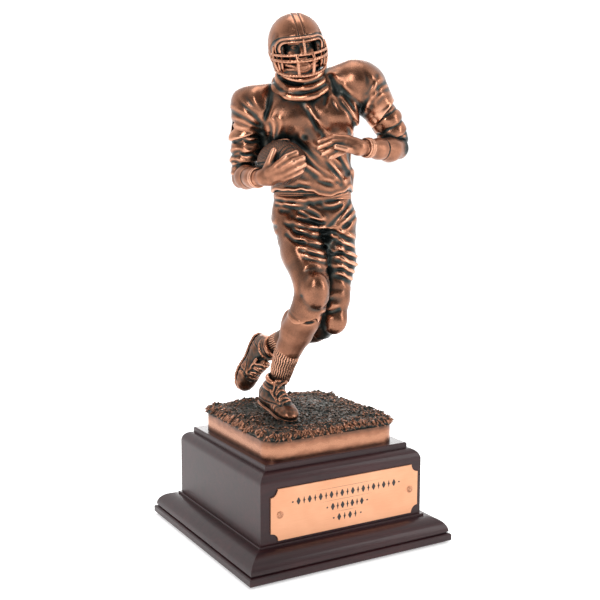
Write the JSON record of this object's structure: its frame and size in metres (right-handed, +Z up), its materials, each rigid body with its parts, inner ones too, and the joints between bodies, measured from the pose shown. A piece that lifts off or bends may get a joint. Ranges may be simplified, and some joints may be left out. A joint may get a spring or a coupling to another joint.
{
  "type": "figure trophy",
  "caption": "Antique copper figure of a running ball carrier in helmet and padded kit, bolted by its turf base to a moulded dark wooden plinth with a notched name plate.",
  "frame": {"origin": "centre of the underside", "axes": "+Z up, name plate on the -Y side, +X to the viewer's right of the plate"},
  "size_m": [0.132, 0.132, 0.3],
  "materials": {
    "wood": "dark mahogany, satin-gloss lacquer",
    "dowel_wood": "plain beech",
    "felt": "black felt",
    "steel": "zinc-plated steel",
    "insert_brass": "turned brass",
    "plate": "bright copper colour, satin",
    "screw_copper": "copper-plated steel",
    "base_copper": "smooth satin copper",
    "turf_copper": "antique copper, dark between bright tips",
    "cloth_copper": "antique copper, dark in the folds",
    "skin_copper": "antique copper, satin",
    "helmet_copper": "antique copper, smooth satin",
    "mask_copper": "antique copper",
    "strap_copper": "antique copper, dark",
    "ball_copper": "antique copper, pebbled",
    "shoe_copper": "antique copper, worn bright at the edges"
  },
  "bodies": {
    "root": {"felt_pad": "felt", "plinth_foot": "wood", "plinth_block": "wood", "plinth_cap": "wood", "board_screws": "steel", "cap_dowels": "dowel_wood", "fixing_bolts": "steel", "fixing_washers": "steel", "threaded_inserts": "insert_brass", "name_plate": "plate", "plate_screws": "screw_copper", "figure_base": "base_copper", "turf": "turf_copper", "foot_pin": "steel", "shoe_right": "shoe_copper", "sole_right": "shoe_copper", "sock_right": "cloth_copper", "calf_right": "skin_copper", "thigh_right": "cloth_copper", "shoe_left": "shoe_copper", "sole_left": "shoe_copper", "calf_left": "skin_copper", "thigh_left": "cloth_copper", "pants": "cloth_copper", "belt": "cloth_copper", "jersey": "cloth_copper", "collar": "cloth_copper", "sleeve_right": "cloth_copper", "sleeve_left": "cloth_copper", "upper_arm_right": "cloth_copper", "upper_arm_left": "cloth_copper", "forearm_right": "skin_copper", "forearm_left": "skin_copper", "wristband_right": "cloth_copper", "wristband_left": "cloth_copper", "hand_right": "skin_copper", "hand_left": "skin_copper", "football": "ball_copper", "head": "skin_copper", "helmet": "helmet_copper", "face_mask": "mask_copper", "chin_strap": "strap_copper"}
  },
  "joints": []
}
